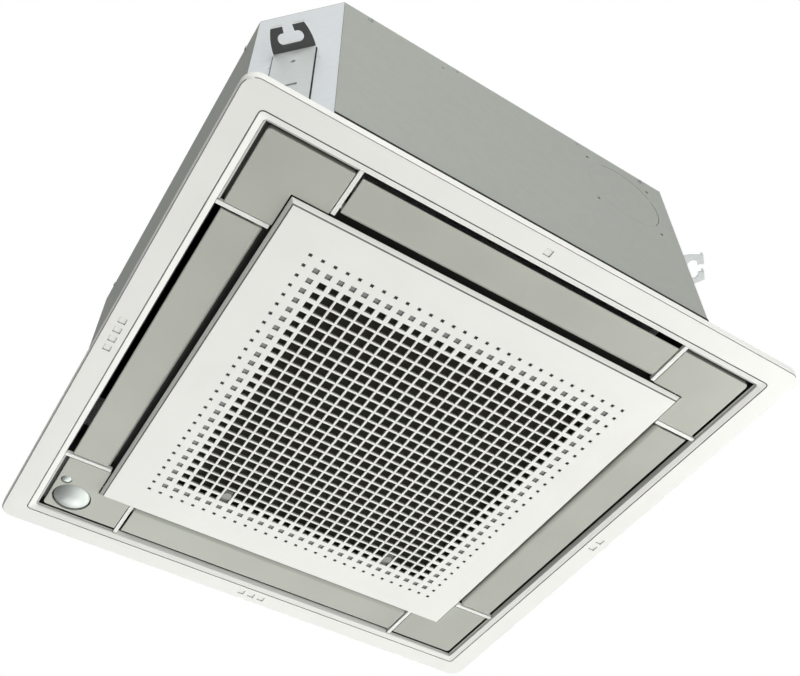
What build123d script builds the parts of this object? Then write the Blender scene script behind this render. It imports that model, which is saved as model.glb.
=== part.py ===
from build123d import *
import os
from math import cos, radians, sin, sqrt

os.makedirs("parts", exist_ok=True)

# Ceiling cassette air conditioner for one 600 mm ceiling module.
# Millimetres. The origin is the middle of the ceiling plane: the panel flange hangs below z = 0 and
# the casing stands above it. The -Y side carries the fresh air knock-out, the +X side the pipes.

# ---------------------------------------------------------------- driving sizes
# decoration panel
panel_side = 620.0
panel_wall = 2.5
flange_depth = 9.0
flange_corner_r = 15.0
flange_edge_r = 2.5
groove_side = 570.0
groove_width = 1.2
groove_deep = 1.0
bevel_rise = 2.0
bevel_run = 6.0
opening_corner_r = 4.0
wall_lean = 1.5
deck_z = 2.0
rib_pitch = 60.0
rib_thick = 2.0
mark_side = 7.5
mark_deep = 0.8
mark_pitch = 13.0
mark_offset = 13.5

# covers and flaps that fill the recess in the panel
trim_z = -5.5
cover_gap = 5.1
cover_end_gap = 1.0
cover_thick = 2.0
cover_corner_r = 4.0
cover_edge_r = 0.8
divider_width = 4.3
flap_length = 360.0
flap_end_gap = 2.7
flap_inner_gap = 4.0
flap_tip_short = 0.9
flap_nose_r = 5.5
flap_thick = 2.2
flap_pin_r = 2.0
flap_pin_in = 6.0
flap_motor_r = 10.0
flap_motor_length = 18.0
flap_motor_rise = 7.0
flap_corner_r = 4.0
corner_pad = 1.2
dome_r = 20.0
dome_rise = 7.0
dome_gap = 1.3
dome_sunk = 1.6
dome_inset = 24.4
lens_r = 5.8
lens_rise = 2.6
lens_inset = 9.4
lens_along = 49.4
panel_screw_inset = 15.5
panel_screw_past = 18.0

# suction grille
grille_side = 440.0
grille_face_z = -11.3
grille_skirt_run = 4.0
grille_wall = 2.5
hole_pitch = 13.0
holes_across = 23
hole_side = 10.6
edge_hole_side = 8.0
pocket_side = 6.0
dot_side = 3.5
pocket_deep = 1.2
filter_wall_gap = 1.0
grille_to_cover_gap = 1.5
hinge_y = -214.0
hinge_z = -4.0
hinge_pin_r = 1.5
hinge_gap = 0.1
hinge_eye_r = 3.8
hinge_at_x = 140.0
knuckle_width = 9.0
ear_width = 3.0
latch_at_x = 104.0
latch_tongue_y = 148.5
latch_half = 5.0
latch_wall = 2.0
latch_travel = 6.0
filter_side = 392.0
filter_thick = 4.0
filter_z = -4.0
net_thick = 0.6

# air duct moulding inside the panel
duct_top_z = 41.0
inlet_side = 405.0
web_z = 8.0
seal_thick = 2.0

# casing
casing_side = 575.0
casing_height = 260.0
casing_corner_cut = 66.6
sheet = 1.0
seam = 1.0
lip_width = 10.0
lap_width = 12.0
knockout_x = 149.6
knockout_z = 233.5
knockout_r = 50.5
knockout_slit = 1.0
knockout_screw_pitch = 90.0
knockout_screw_r = 2.0
seam_screw_x = 188.0
seam_screw_drop = 6.0
bead_width = 12.0
bead_rise = 3.0
bead_clear = 28.0
jig_hole_r = 1.5
jig_hole_drop = 6.0
dimple_r = 1.6
dimple_deep = 0.5
dimple_aside = 3.5
leg_hole_drop = 26.0

# hanger brackets, one on each cut corner
suspension_pitch = 533.0
bracket_z = 200.0
bracket_thick = 2.0
bracket_width = 44.0
bracket_tip_width = 34.5
bracket_reach = 28.0
slot_lobe_long = 26.4
slot_lobe_wide = 11.5
slot_neck = 12.0
slot_mouth = 10.0
bracket_lip = 5.0

# inside
liner = 10.0
liner_gap = 0.3
top_liner = 15.0
slot_side_in = 236.0
slot_half_length = 175.0
pan_height = 39.0
pan_opening_side = 384.0
trough_deep = 21.0
coil_side_out = 458.0
coil_thick = 26.0
coil_corner_r = 60.0
coil_gap_to_pan = 1.0
coil_end = 150.0
tube_r = 3.5
fan_r = 165.0
fan_eye_r = 132.0
fan_top_z = 250.0
fan_low_z = 112.0
fan_blades = 7
fan_wall = 2.5
blade_lean_deg = 34.0
blade_inner_r = 96.0
throat_r = 126.0
throat_tip_z = 118.0
throat_flare_r = 178.0
bell_wall = 2.0
motor_r = 62.0
motor_height = 58.0
motor_gap = 6.0
lug_out = 8.0
shaft_r = 5.0
running_gap = 0.05
seat_gap = 0.3
bell_screw_inset = 17.5
box_width = 50.0
box_to_screw = 20.0
box_low_z = 8.0
box_wall = 1.2
liquid_r = 3.175
gas_r = 6.35
liquid_union_r = 5.55
gas_union_r = 9.5
pipe_y = 190.0
liquid_z = 105.0
gas_z = 150.0
stub_reach = 24.0
drain_r = 13.0
drain_bore_r = 10.0
drain_z = 205.0
drain_y = -190.0
grommet_y = 60.0
grommet_z = 150.0
grommet_bore_r = 8.0
sump_r = 25.0
plug_r = 8.0
pump_lift = 6.0
spigot_r = 5.0
hose_wall = 3.0
hose_aside = 14.0
switch_side = -38.0
fan_boss_z = 172.0
screw_r = 2.0
screw_head_r = 4.0
screw_head = 2.0

# ---------------------------------------------------------------- sizes worked out from those
panel_half = panel_side / 2
groove_half = groove_side / 2
wall_half = groove_half - bevel_run
deck_half = wall_half - wall_lean
cover_half = deck_half - cover_gap
divider_start = flap_length / 2 + flap_end_gap
divider_end = divider_start + divider_width
cover_start = divider_end + cover_end_gap
grille_half = grille_side / 2
skirt_half = grille_half + grille_skirt_run
plate_half = grille_half - 2 * grille_wall
recess_half = skirt_half + grille_to_cover_gap
flap_pivot_r = recess_half + flap_inner_gap + flap_nose_r
flap_tip_r = cover_half - flap_tip_short
well_out = groove_half - 2 * panel_wall + 1
mark_mid = panel_half - mark_offset
panel_screw_at = (deck_half - panel_screw_inset, divider_end + panel_screw_past)
dome_at = (cover_half - dome_inset, cover_half - dome_inset)
lens_at = (cover_half - lens_along, cover_half - lens_inset)
sensor_depth = deck_z - trim_z - dome_sunk
deck_top = deck_z + panel_wall
duct_out = deck_half - 1.0
duct_in = flap_pivot_r - flap_nose_r - 1.0
inlet_half = inlet_side / 2
seal_top = duct_top_z + seal_thick
casing_half = casing_side / 2
casing_low = seal_top
casing_top = casing_low + casing_height
side_half = casing_half - casing_corner_cut
corner_diag = (2 * casing_half - casing_corner_cut) / sqrt(2)
liner_inset = 2 * sheet + liner_gap
pan_low = casing_low + sheet
pan_top = pan_low + pan_height
liner_top = casing_top - sheet - liner_gap
slot_side_out = casing_half - liner_inset - liner
trough_floor = pan_top - trough_deep
coil_half = coil_side_out / 2
coil_low = trough_floor + coil_gap_to_pan
coil_top = liner_top - top_liner
slot_diag = suspension_pitch / sqrt(2)
bell_low = casing_low - bell_wall
motor_top = liner_top - motor_gap
motor_low = motor_top - motor_height
latch_y_in = latch_tongue_y - 7.0
latch_y_out = inlet_half + latch_travel + 2 * latch_wall
bell_screw_at = inlet_half - bell_screw_inset
box_x1 = inlet_half - panel_wall
box_x = box_x1 - box_width
box_half = bell_screw_at - box_to_screw
box_top_z = bell_low - seat_gap
sump_diag = corner_diag - liner_inset - sump_r - 9
pump_x = sump_diag / sqrt(2)
pump_y = -pump_x
pump_low = trough_floor + pump_lift
hose_x = pump_x + hose_aside
hose_y = drain_y + 8.0
drain_inner_x = slot_side_out - 4
SIDES = ("front", "right", "back", "left")


# ---------------------------------------------------------------- small helpers
def block(x0, x1, y0, y1, z0, z1):
    return Pos((x0 + x1) / 2, (y0 + y1) / 2, (z0 + z1) / 2) * Box(x1 - x0, y1 - y0, z1 - z0)


def slab(face, z0, z1):
    return extrude(Pos(0, 0, z0) * face, z1 - z0)


def turned(shape, quarter):
    return Rot(0, 0, 90 * quarter) * shape


def rounded_square(half, r=0.0):
    return RectangleRounded(2 * half, 2 * half, r) if r else Rectangle(2 * half, 2 * half)


def square_ring(half_out, half_in, z0, z1, r_out=0.0, r_in=0.0):
    return slab(rounded_square(half_out, r_out) - rounded_square(half_in, r_in), z0, z1)


def frustum(half_0, z0, half_1, z1, r_0=0.0, r_1=0.0):
    return loft([Pos(0, 0, z0) * rounded_square(half_0, r_0), Pos(0, 0, z1) * rounded_square(half_1, r_1)])


def disc(r, x, y, z0, z1):
    return Pos(x, y, (z0 + z1) / 2) * Cylinder(r, z1 - z0)


def rod_x(r, x0, x1, y, z):
    return Pos((x0 + x1) / 2, y, z) * Rot(0, 90, 0) * Cylinder(r, x1 - x0)


def rod_y(r, x, y0, y1, z):
    return Pos(x, (y0 + y1) / 2, z) * Rot(90, 0, 0) * Cylinder(r, y1 - y0)


def turned_profile(edges):
    return revolve(make_face(Plane.XZ * Wire(edges)), Axis.Z)


def casing_outline(inset):
    """The casing's plan with its four cut corners, moved inwards by inset."""
    half = casing_half - inset
    cut = casing_corner_cut - inset * (2 - sqrt(2))
    corners = []
    for quarter in range(4):
        a = radians(90 * quarter)
        for x, y in ((half, half - cut), (half - cut, half)):
            corners.append((x * cos(a) - y * sin(a), x * sin(a) + y * cos(a)))
    return make_face(Polyline(*corners, close=True))


def corner_place(quarter, diag=0.0):
    """A frame on a cut corner: x points out along the diagonal, z up. Quarter 0 is the (-X, -Y) corner."""
    return Rot(0, 0, 225 + 90 * quarter) * Pos(diag, 0, 0)


def screw_up(r, x, y, z, length):
    """A screw that goes up into what it holds, with its head below z."""
    return disc(r, x, y, z, z + length) + disc(2 * r, x, y, z - screw_head, z)


parts = {}


# ---------------------------------------------------------------- casing
def side_plate(quarter):
    """A sheet side with a folded bottom lip, drawn as the front side and turned into place."""
    run = side_half - seam / 2
    plate = block(-run, run, -casing_half, -casing_half + sheet, casing_low, casing_top - sheet)
    plate += block(-run, run, -casing_half, -casing_half + lip_width, casing_low, casing_low + sheet)
    for x in (-seam_screw_x, seam_screw_x):
        plate -= rod_y(screw_r, x, -casing_half - 1, -casing_half + 2, casing_top - seam_screw_drop)
    if quarter == 0:
        plate -= knockout_cuts()
        for x, drop in ((-76, jig_hole_drop), (93, jig_hole_drop), (-96, 3 * jig_hole_drop)):
            plate -= rod_y(jig_hole_r, x, -casing_half - 1, -casing_half + 2, casing_top - drop)
    plate = turned(plate, quarter)
    if quarter == 1:
        plate -= service_holes(1.0)
    return plate


def knockout_cuts():
    """The slit round the knock-out, broken by three bridges, and the four duct collar screw holes."""
    ring = Circle(knockout_r + knockout_slit / 2) - Circle(knockout_r - knockout_slit / 2)
    for angle in (30, 158, -29):
        ring -= Rot(0, 0, angle) * Pos(knockout_r, 0) * Rectangle(4, 3)
    spread = knockout_screw_pitch
    ring += [at * Circle(knockout_screw_r) for at in GridLocations(spread, spread, 2, 2)]
    place = Pos(knockout_x, -casing_half + sheet + 1, knockout_z) * Rot(90, 0, 0)
    return place * extrude(ring, sheet + 2)


def service_holes(margin):
    """What passes the +X side: the two pipes, the drain socket and the wiring grommet."""
    x0, x1 = slot_side_out - 1, casing_half + 1
    holes = rod_x(gas_r + margin, x0, x1, pipe_y, gas_z)
    holes += rod_x(liquid_r + margin, x0, x1, pipe_y, liquid_z)
    holes += rod_x(drain_r + margin, x0, x1, drain_y, drain_z)
    holes += rod_x(grommet_bore_r + 2 + margin / 2, x0, x1, grommet_y, grommet_z)
    return holes


def corner_plate(quarter):
    """A sheet corner with two wings that lap behind the sides and a dimple on each side of the bracket."""
    z0, z1 = casing_low + sheet + seat_gap, casing_top - sheet
    web = slab(casing_outline(0) - casing_outline(sheet), z0, z1)
    lap = slab(casing_outline(sheet) - casing_outline(2 * sheet), z0, z1)
    web &= block(-casing_half, -side_half, -casing_half, -side_half, z0, z1)
    end = side_half - lap_width
    lap &= block(-casing_half, -end, -casing_half, -end, z0, z1)
    plate = web + lap
    for y in (-bracket_width / 2 - dimple_aside, bracket_width / 2 + dimple_aside):
        place = corner_place(0, corner_diag) * Pos(0, y, bracket_z - leg_hole_drop) * Rot(0, 90, 0)
        plate -= place * Cylinder(dimple_r, 2 * dimple_deep)
    return turned(plate, quarter)


def top_plate():
    """The lid, pressed with a ring and four spokes that stiffen it over the fan motor."""
    z0 = casing_top - sheet
    inner, half, top = motor_r + bead_clear, bead_width / 2, casing_top + bead_rise

    def beads(inset, low, high):
        pressed = slab(Circle(inner + bead_width - inset) - Circle(inner + inset), low, high)
        for quarter in range(4):
            spoke = block(inner + half, side_half - inset, inset - half, half - inset, low, high)
            pressed += Rot(0, 0, 45 + 90 * quarter) * spoke
        return pressed

    lid = slab(casing_outline(0), z0, casing_top) + beads(0, casing_top, top)
    lid -= beads(sheet, z0 - 1, top - sheet)
    lid += slab(casing_outline(2 * sheet + 0.1) - casing_outline(3 * sheet + 0.1), z0 - lip_width, z0)
    for quarter in range(4):
        for x in (-seam_screw_x, seam_screw_x):
            hole = rod_y(screw_r, x, -casing_half, -casing_half + 6, casing_top - seam_screw_drop)
            lid -= turned(hole, quarter)
    return lid


def hanger_bracket(quarter):
    """A bent strip with an open keyhole slot for the hanging rod."""
    half, tip = bracket_width / 2, bracket_tip_width / 2
    outline = Line((0, -half), (0, half))
    outline += ThreePointArc((0, half), (bracket_reach / 2, half - 0.8), (bracket_reach, tip))
    outline += Line((bracket_reach, tip), (bracket_reach, -tip))
    outline += ThreePointArc((bracket_reach, -tip), (bracket_reach / 2, -half + 0.8), (0, -half))
    tab = make_face(outline)
    rod_n = slot_diag - corner_diag
    tab -= Pos(rod_n - 2, 0) * RectangleRounded(slot_lobe_wide, slot_lobe_long, slot_lobe_wide / 2 - 0.2)
    mouth = Polyline((rod_n, -slot_neck / 2), (bracket_reach + 1, -slot_mouth / 2),
                     (bracket_reach + 1, slot_mouth / 2), (rod_n, slot_neck / 2), close=True)
    tab -= make_face(mouth)
    bracket = slab(tab, bracket_z, bracket_z + bracket_thick)
    leg = block(0, bracket_thick, -half, half, casing_low + 18, bracket_z + bracket_thick)
    leg -= Pos(0, 0, bracket_z - leg_hole_drop) * Rot(0, 90, 0) * Cylinder(2.75, 10)
    leg -= block(-1, bracket_thick + 1, -8, 8, bracket_z - 80, bracket_z - 76)
    bracket += leg
    lip_z = bracket_z + bracket_thick
    lip = block(bracket_reach - bracket_thick, bracket_reach, slot_mouth / 2 + 0.6, tip,
                lip_z, lip_z + bracket_lip)
    bracket += lip + mirror(lip, about=Plane.XZ)
    return corner_place(quarter, corner_diag) * bracket


def seam_screws():
    """Eight screws that fix the lid's skirt behind the sides."""
    screws, z = [], casing_top - seam_screw_drop
    for quarter in range(4):
        for x in (-seam_screw_x, seam_screw_x):
            shank = rod_y(screw_r - running_gap, x, -casing_half, -casing_half + 4, z)
            head = rod_y(screw_head_r, x, -casing_half - screw_head, -casing_half, z)
            screws.append(turned(shank + head, quarter))
    return screws


for quarter, side in enumerate(SIDES):
    parts[f"side_plate_{side}"] = side_plate(quarter)
for quarter in range(4):
    parts[f"corner_plate_{quarter + 1}"] = corner_plate(quarter)
    parts[f"hanger_bracket_{quarter + 1}"] = hanger_bracket(quarter)
parts["top_plate"] = top_plate()


# ---------------------------------------------------------------- inside the casing
def casing_insulation():
    """Foam against the sides and under the lid, with a well for the fan motor."""
    walls = slab(casing_outline(liner_inset + sheet) - casing_outline(liner_inset + liner), pan_top, coil_top)
    roof = slab(casing_outline(liner_inset + 2 * sheet), coil_top, liner_top)
    foam = walls + roof - disc(motor_r + 20, 0, 0, coil_top - 1, liner_top + 1)
    between_pipes = block(slot_side_out - 1, casing_half, pipe_y - 12, pipe_y + 12, liquid_z, gas_z)
    return foam - service_holes(3.0) - between_pipes


def drain_pan():
    """The moulded pan: a trough for the coil, four outlet slots, a sump and a seat for the bell mouth."""
    pan = slab(casing_outline(liner_inset), pan_low, pan_top)
    pan -= slab(rounded_square(pan_opening_side / 2, 40), pan_low - 1, pan_top + 1)
    trough_in = coil_half - coil_thick - 4
    pan -= square_ring(coil_half + 3, trough_in, trough_floor, pan_top + 1, coil_corner_r + 3, 40)
    for quarter in range(4):
        slot = block(-slot_half_length, slot_half_length, -slot_side_out, -slot_side_in,
                     pan_low - 1, pan_top + 1)
        pan -= turned(slot, quarter)
        pan -= turned(disc(screw_r + seat_gap, *panel_screw_at, pan_low - 1, pan_low + 22), quarter)
    sump = disc(sump_r, 0, 0, trough_floor, pan_top + 1) + block(-13, 13, -52, 0, trough_floor, pan_top + 1)
    drain = disc(plug_r, 0, 0, pan_low - 1, trough_floor + 1)
    return pan - corner_place(1, sump_diag) * (sump + drain)


def drain_plug():
    plug = disc(plug_r - running_gap, 0, 0, pan_low, trough_floor + 3)
    plug += disc(plug_r + 3, 0, 0, pan_low - 3, pan_low)
    return corner_place(1, sump_diag) * plug


def heat_exchanger():
    """The finned block: four straight runs and the three bends between them, open at the pipe corner."""
    inner = coil_half - coil_thick
    ring = square_ring(coil_half, inner, coil_low, coil_top, coil_corner_r, coil_corner_r - coil_thick)
    ring -= block(coil_end, coil_half + 1, coil_end, coil_half + 1, coil_low - 1, coil_top + 1)
    straight = coil_half - coil_corner_r
    runs = [ring & turned(block(-straight, straight, -coil_half - 1, 0, coil_low - 1, coil_top + 1), quarter)
            for quarter in range(4)]
    corner = block(-coil_half, -straight, -coil_half, -straight, coil_low - 1, coil_top + 1)
    bends = [ring & turned(corner, quarter) for quarter in (0, 1, 3)]
    return runs + bends


def end_plates():
    """The two sheet plates that close the fin block at its open corner."""
    mid = coil_half - coil_thick / 2
    half = coil_thick / 2 + 2
    plate = block(mid - half, mid + half, coil_end, coil_end + 1.5, coil_low, coil_top)
    return [plate, mirror(plate, about=Plane(origin=(0, 0, 0), z_dir=(1, -1, 0)))]


def return_bends():
    """Half loops of copper tube that join the rows at both ends of the block."""
    rows, pitch = 5, 42.0
    bends = []
    mid = coil_half - coil_thick / 2
    for row in range(rows):
        z = coil_low + 11 + row * pitch
        path = Line((0, 0, z), (0, 4, z)) + ThreePointArc((0, 4, z), (0, 4 + pitch / 4, z + pitch / 4),
                                                         (0, 4, z + pitch / 2))
        path += Line((0, 4, z + pitch / 2), (0, 0, z + pitch / 2))
        loop = sweep(Plane(origin=(0, 0, z), z_dir=(0, 1, 0)) * Circle(tube_r), Wire(path.edges()))
        loop = Pos(mid, coil_end + 1.5, 0) * loop
        bends.append(loop)
        bends.append(mirror(loop, about=Plane(origin=(0, 0, 0), z_dir=(1, -1, 0))))
    return bends


def copper_pipe(r, z, header_x, header_z):
    """A pipe from its header at the open corner, out through the +X side."""
    end_x = casing_half + stub_reach - 8
    path = FilletPolyline((header_x, pipe_y, header_z), (header_x, pipe_y, z), (end_x, pipe_y, z), radius=4 * r)
    section = Plane(origin=(header_x, pipe_y, header_z), z_dir=(0, 0, z - header_z)) * Circle(r)
    return sweep(section, path)


def flare_union(r, pipe_r, z, length):
    """A male flare fitting on the pipe's end, with its hexagon."""
    x0 = casing_half + stub_reach - 16
    x1 = x0 + 7
    hexagon = Plane(origin=(x0, pipe_y, z), z_dir=(1, 0, 0)) * RegularPolygon(r * 1.25, 6)
    body = extrude(hexagon, x1 - x0) + rod_x(r, x1, x1 + length, pipe_y, z)
    body -= rod_x(pipe_r, x0 - 1, x1 + 1, pipe_y, z)
    return body - rod_x(pipe_r - 0.8, x0 - 1, x1 + length + 1, pipe_y, z)


def drain_socket():
    """The pipe socket for the drain, flanged against the +X side."""
    end = casing_half + stub_reach + 6
    socket = rod_x(drain_r, slot_side_out - 4, end, drain_y, drain_z)
    socket += rod_x(drain_r + 5, casing_half + 0.2, casing_half + 2.2, drain_y, drain_z)
    return socket - rod_x(drain_bore_r, slot_side_out - 5, end + 1, drain_y, drain_z)


def drain_pump():
    """The lift pump in the sump: inlet foot, impeller housing, motor can and outlet spigot."""
    low = pump_low
    body = block(-7, 7, -7, 7, low + 72, low + 77)
    for r, z0, z1 in ((10, 0, 14), (17, 14, 34), (19, 34, 38), (15, 38, 72)):
        body += disc(r, 0, 0, low + z0, low + z1)
    return corner_place(1, sump_diag) * body + rod_y(spigot_r, hose_x, pump_y + 4, pump_y + 34, low + 24)


def drain_hose():
    """The riser from the pump's spigot up to the drain socket."""
    start = (hose_x, pump_y + 22, pump_low + 24)
    path = FilletPolyline(start, (hose_x, hose_y, pump_low + 24), (hose_x, hose_y, drain_z),
                          (drain_inner_x, hose_y, drain_z), radius=13)
    outer = Plane(origin=start, z_dir=(0, 1, 0)) * Circle(spigot_r + hose_wall)
    inner = Plane(origin=start, z_dir=(0, 1, 0)) * Circle(spigot_r + running_gap)
    return sweep(outer, path) - sweep(inner, path)


def float_switch():
    """A stem with a stop at its lower end under a housing."""
    stem = disc(2, 0, 0, trough_floor + 4, pan_top + 30) + disc(4, 0, 0, trough_floor + 2, trough_floor + 4)
    stem += disc(8, 0, 0, pan_top + 30, pan_top + 42)
    return corner_place(1, sump_diag) * Pos(0, switch_side, 0) * stem


def switch_float():
    ring = disc(9, 0, 0, trough_floor + 4, trough_floor + 16)
    ring -= disc(2 + running_gap, 0, 0, trough_floor, pan_top)
    return corner_place(1, sump_diag) * Pos(0, switch_side, 0) * ring


def bell_mouth():
    """The inlet plate with its flared throat, which ends inside the fan's eye."""
    out, wall = throat_r + bell_wall, bell_wall
    flare, z0 = throat_flare_r, bell_low
    rise = 50.0
    mid = (throat_r + (flare - throat_r) * (1 - sqrt(0.5)), z0 + rise * (1 - sqrt(0.5)))
    edges = Line((throat_r, throat_tip_z), (throat_r, z0 + rise)) + ThreePointArc(
        (throat_r, z0 + rise), mid, (flare, z0))
    edges += Line((flare, z0), (flare + 6, z0)) + Line((flare + 6, z0), (flare + 6, z0 + wall))
    edges += Line((flare + 6, z0 + wall), (flare + 1, z0 + wall))
    edges += ThreePointArc((flare + 1, z0 + wall), (mid[0] + wall * 0.8, mid[1] + wall * 0.8),
                           (out, z0 + rise))
    edges += Line((out, z0 + rise), (out, throat_tip_z)) + Line((out, throat_tip_z), (throat_r, throat_tip_z))
    horn = turned_profile(edges.edges())
    plate = slab(rounded_square(inlet_half - 3, 12) - Circle(flare + 3), z0, z0 + wall)
    mouth = horn + plate
    for at in GridLocations(2 * bell_screw_at, 2 * bell_screw_at, 2, 2):
        mouth -= at * disc(screw_r + 0.2, 0, 0, z0 - 1, z0 + wall + 1)
    return mouth


def bell_screws():
    return [at * screw_up(screw_r, 0, 0, bell_low, 1.9)
            for at in GridLocations(2 * bell_screw_at, 2 * bell_screw_at, 2, 2)]


def fan_motor():
    """The motor can under the lid, with its boss and three lugs."""
    edges = Polyline((shaft_r + running_gap, motor_low), (18, motor_low), (20, motor_low + 5),
                     (motor_r - 8, motor_low + 5), (motor_r, motor_low + 13), (motor_r, motor_top - 8),
                     (motor_r - 8, motor_top), (shaft_r + running_gap, motor_top), close=True)
    can = turned_profile(edges.edges())
    lug = block(motor_r - 8, motor_r + lug_out + 7, -8, 8, motor_top - 10, motor_top - 6)
    lug -= disc(4, motor_r + lug_out, 0, motor_top - 11, motor_top - 5)
    for turn in range(3):
        can += Rot(0, 0, 90 + 120 * turn) * lug
    return can


def motor_bushes():
    """Three rubber bushes between the lugs and the lid."""
    bushes = []
    for turn in range(3):
        bush = disc(4 - running_gap, motor_r + lug_out, 0, motor_top - 10, motor_top - 6)
        bush += disc(6, motor_r + lug_out, 0, motor_top - 6, liner_top + liner_gap)
        bushes.append(Rot(0, 0, 90 + 120 * turn) * bush)
    return bushes


def motor_shaft():
    return disc(shaft_r, 0, 0, fan_boss_z - 12, motor_top - 2)


def turbo_fan():
    """Backward curved blades between a dished back plate and a flared shroud."""
    wall, top, lip = fan_wall, fan_top_z, fan_low_z
    floor, rim = fan_boss_z + 14, fan_low_z + 42
    bore = shaft_r + running_gap / 2
    hub = Polyline((bore, fan_boss_z), (14, fan_boss_z), (16, floor), (40, floor), (80, top - wall),
                   (fan_r, top - wall), (fan_r, top), (78, top), (38, floor + wall), (bore, floor + wall),
                   close=True)
    fan = turned_profile(hub.edges())
    eye, low = fan_eye_r, lip + 12

    def shroud_arc(back):
        """The flare from the eye to the rim, moved towards the blades by back."""
        bend = (eye + 9 - back * 0.7, lip + 31 + back * 0.7)
        return ThreePointArc((eye - back, low), bend, (fan_r, rim + back))

    ring = Polyline((eye, low), (eye, lip), (eye - wall, lip), (eye - wall, low)) + shroud_arc(wall)
    ring += [Line((fan_r, rim + wall), (fan_r, rim)), shroud_arc(0)]
    fan += turned_profile(ring.edges())
    room = shroud_arc(wall / 2) + Polyline((fan_r, rim + wall / 2), (fan_r, top - wall / 2),
                                           (blade_inner_r - 6, top - wall / 2), (blade_inner_r - 6, lip + 24),
                                           (eye - wall / 2, low))
    passage = turned_profile(room.edges())
    for turn in range(fan_blades):
        fan += Rot(0, 0, 360 / fan_blades * turn) * (fan_blade() & passage)
    return fan


def fan_blade():
    """One blade as a crescent between two arcs, swept back from its root to its tip."""
    lean = radians(blade_lean_deg)
    tip = ((fan_r - 0.5) * cos(lean), -(fan_r - 0.5) * sin(lean))
    root = (blade_inner_r, 0.0)
    mid_r, half_turn = (fan_r + blade_inner_r) / 2, lean * 0.42
    front = (mid_r * cos(half_turn) + 7, -mid_r * sin(half_turn) + 5)
    back = (front[0] - 4.5, front[1] - 4.5)
    face = make_face(ThreePointArc(root, front, tip) + ThreePointArc(tip, back, root))
    return slab(face, fan_low_z, fan_top_z)


def fan_nut():
    nut = slab(RegularPolygon(9, 6), fan_boss_z - 8, fan_boss_z)
    return nut - disc(shaft_r, 0, 0, fan_boss_z - 9, fan_boss_z + 1)


def control_box():
    """The sheet tray beside the inlet, open below."""
    x0, x1, half = box_x, box_x1, box_half
    tray = block(x0, x1, -half, half, box_low_z + box_wall, box_top_z)
    tray -= block(x0 + box_wall, x1 - box_wall, box_wall - half, half - box_wall,
                  box_low_z, box_top_z - box_wall)
    return tray


def control_lid():
    x0, x1, half = box_x, box_x1, box_half
    return block(x0, x1, -half, half, box_low_z, box_low_z + box_wall)


def circuit_board():
    """The board on the tray's roof, with its connectors, two capacitors and a relay."""
    z1 = box_top_z - box_wall
    under, over = z1 - 5, z1 - 3.4
    end = box_half - 15
    board = block(box_x + 6, box_x1 - 6, -60, end, under, over)
    connector_pitch = 52.0
    for n in range(4):
        y = end - 20 - n * connector_pitch
        board += block(box_x + 12, box_x + 22, y - 6, y + 6, under, z1)
    for y in (-30, 20):
        board += disc(7, box_x + 32, y, under - 15, under)
    return board + block(box_x + 12, box_x + 34, end - 60, end - 46, under - 12, under)


def terminal_block():
    """Four screw chambers beside the board, open below."""
    z1 = box_top_z - box_wall
    rows, pitch, deep = 4, 14.0, 16.0
    y0 = 25 - box_half
    body = block(box_x + 10, box_x + 36, y0, y0 + rows * pitch, z1 - deep, z1)
    for row in range(rows):
        y = y0 + pitch / 2 + row * pitch
        body -= block(box_x + 14, box_x + 32, y - 4.5, y + 4.5, z1 - deep - 1, z1 - deep / 2)
    return body


def air_thermistor():
    """The return air sensor: a bulb in a small clip on the bell mouth."""
    y = inlet_half - 12.5
    clip = block(-4, 4, y - 4, y + 4, bell_low - 8, bell_low)
    return clip + rod_x(3, -4, 14, y, bell_low - 10)


parts["casing_insulation"] = casing_insulation()
parts["drain_pan"] = drain_pan()
parts["drain_plug"] = drain_plug()
parts["heat_exchanger"] = heat_exchanger() + end_plates()
parts["return_bends"] = return_bends()
parts["gas_pipe"] = copper_pipe(gas_r, gas_z, coil_half + 8, coil_top - 30)
parts["liquid_pipe"] = copper_pipe(liquid_r, liquid_z, coil_half + 8, pan_top + 6 + 50)
parts["gas_union"] = flare_union(gas_union_r, gas_r, gas_z, 18)
parts["liquid_union"] = flare_union(liquid_union_r, liquid_r, liquid_z, 13)
parts["drain_socket"] = drain_socket()
parts["drain_pump"] = drain_pump()
parts["drain_hose"] = drain_hose()
parts["float_switch"] = float_switch()
parts["switch_float"] = switch_float()
parts["bell_mouth"] = bell_mouth()
parts["casing_screws"] = seam_screws() + bell_screws()
parts["fan_motor"] = fan_motor()
parts["motor_bushes"] = motor_bushes()
parts["motor_shaft"] = motor_shaft()
parts["turbo_fan"] = turbo_fan()
parts["fan_nut"] = fan_nut()
parts["control_box"] = control_box()
parts["control_box_lid"] = control_lid()
parts["circuit_board"] = circuit_board()
parts["terminal_block"] = terminal_block()
parts["air_thermistor"] = air_thermistor()

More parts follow.
